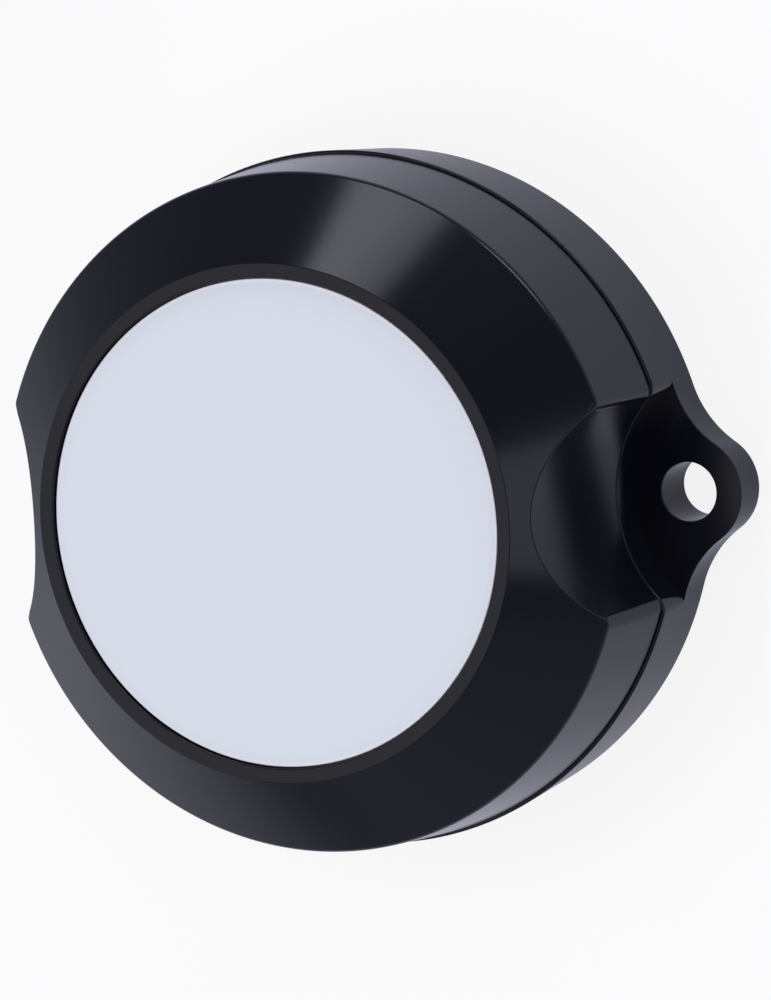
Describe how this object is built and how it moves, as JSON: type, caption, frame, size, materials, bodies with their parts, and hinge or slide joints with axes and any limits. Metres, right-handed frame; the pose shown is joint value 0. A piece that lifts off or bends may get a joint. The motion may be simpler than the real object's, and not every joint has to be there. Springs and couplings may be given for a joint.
{
  "type": "bluetooth beacon",
  "caption": "Round sealed wireless beacon puck with a bevelled front, a recessed blank label disc, scooped screw ears at its sides and a flat mounting back.",
  "frame": {"origin": "centre of the flat back face that lies on the wall or table", "axes": "+Z points out of the labelled front, +X points at one screw ear and -X at the other, +Y completes a right-handed frame"},
  "size_m": [0.0584, 0.0516, 0.0223],
  "materials": {
    "housing_plastic": "satin black moulded plastic",
    "label_film": "bluish white printed film, blank",
    "seal_rubber": "red-brown silicone",
    "screw_steel": "plain stainless steel",
    "board_laminate": "green solder mask on glass laminate",
    "insulator_film": "amber film",
    "foam": "closed-cell foam",
    "cell_steel": "nickel-plated steel",
    "gasket_plastic": "natural nylon",
    "tab_nickel": "nickel strip",
    "chip_resin": "black moulding resin",
    "crystal_lid": "plated lid",
    "antenna_ceramic": "white ceramic",
    "inductor_ceramic": "blue-grey ceramic",
    "capacitor_ceramic": "tan ceramic",
    "resistor_film": "black coat on ceramic",
    "tank_aluminium": "bright can",
    "reed_tube": "greenish glass",
    "lead_metal": "tinned nickel-iron"
  },
  "bodies": {
    "root": {"front_shell": "housing_plastic", "rear_base": "housing_plastic", "label_disc": "label_film", "seal_ring": "seal_rubber", "housing_screws": "screw_steel", "board_screws": "screw_steel", "circuit_board": "board_laminate", "insulator_disc": "insulator_film", "foam_pad": "foam", "cell_can": "cell_steel", "cell_gasket": "gasket_plastic", "cell_cap": "cell_steel", "tab_positive": "tab_nickel", "tab_negative": "tab_nickel", "radio_chip": "chip_resin", "crystal_main": "crystal_lid", "crystal_slow": "crystal_lid", "chip_antenna": "antenna_ceramic", "matching_inductors": "inductor_ceramic", "decoupling_capacitors": "capacitor_ceramic", "resistors": "resistor_film", "tank_capacitor": "tank_aluminium", "reed_glass": "reed_tube", "reed_leads": "lead_metal", "guard_transistor": "chip_resin"}
  },
  "joints": []
}
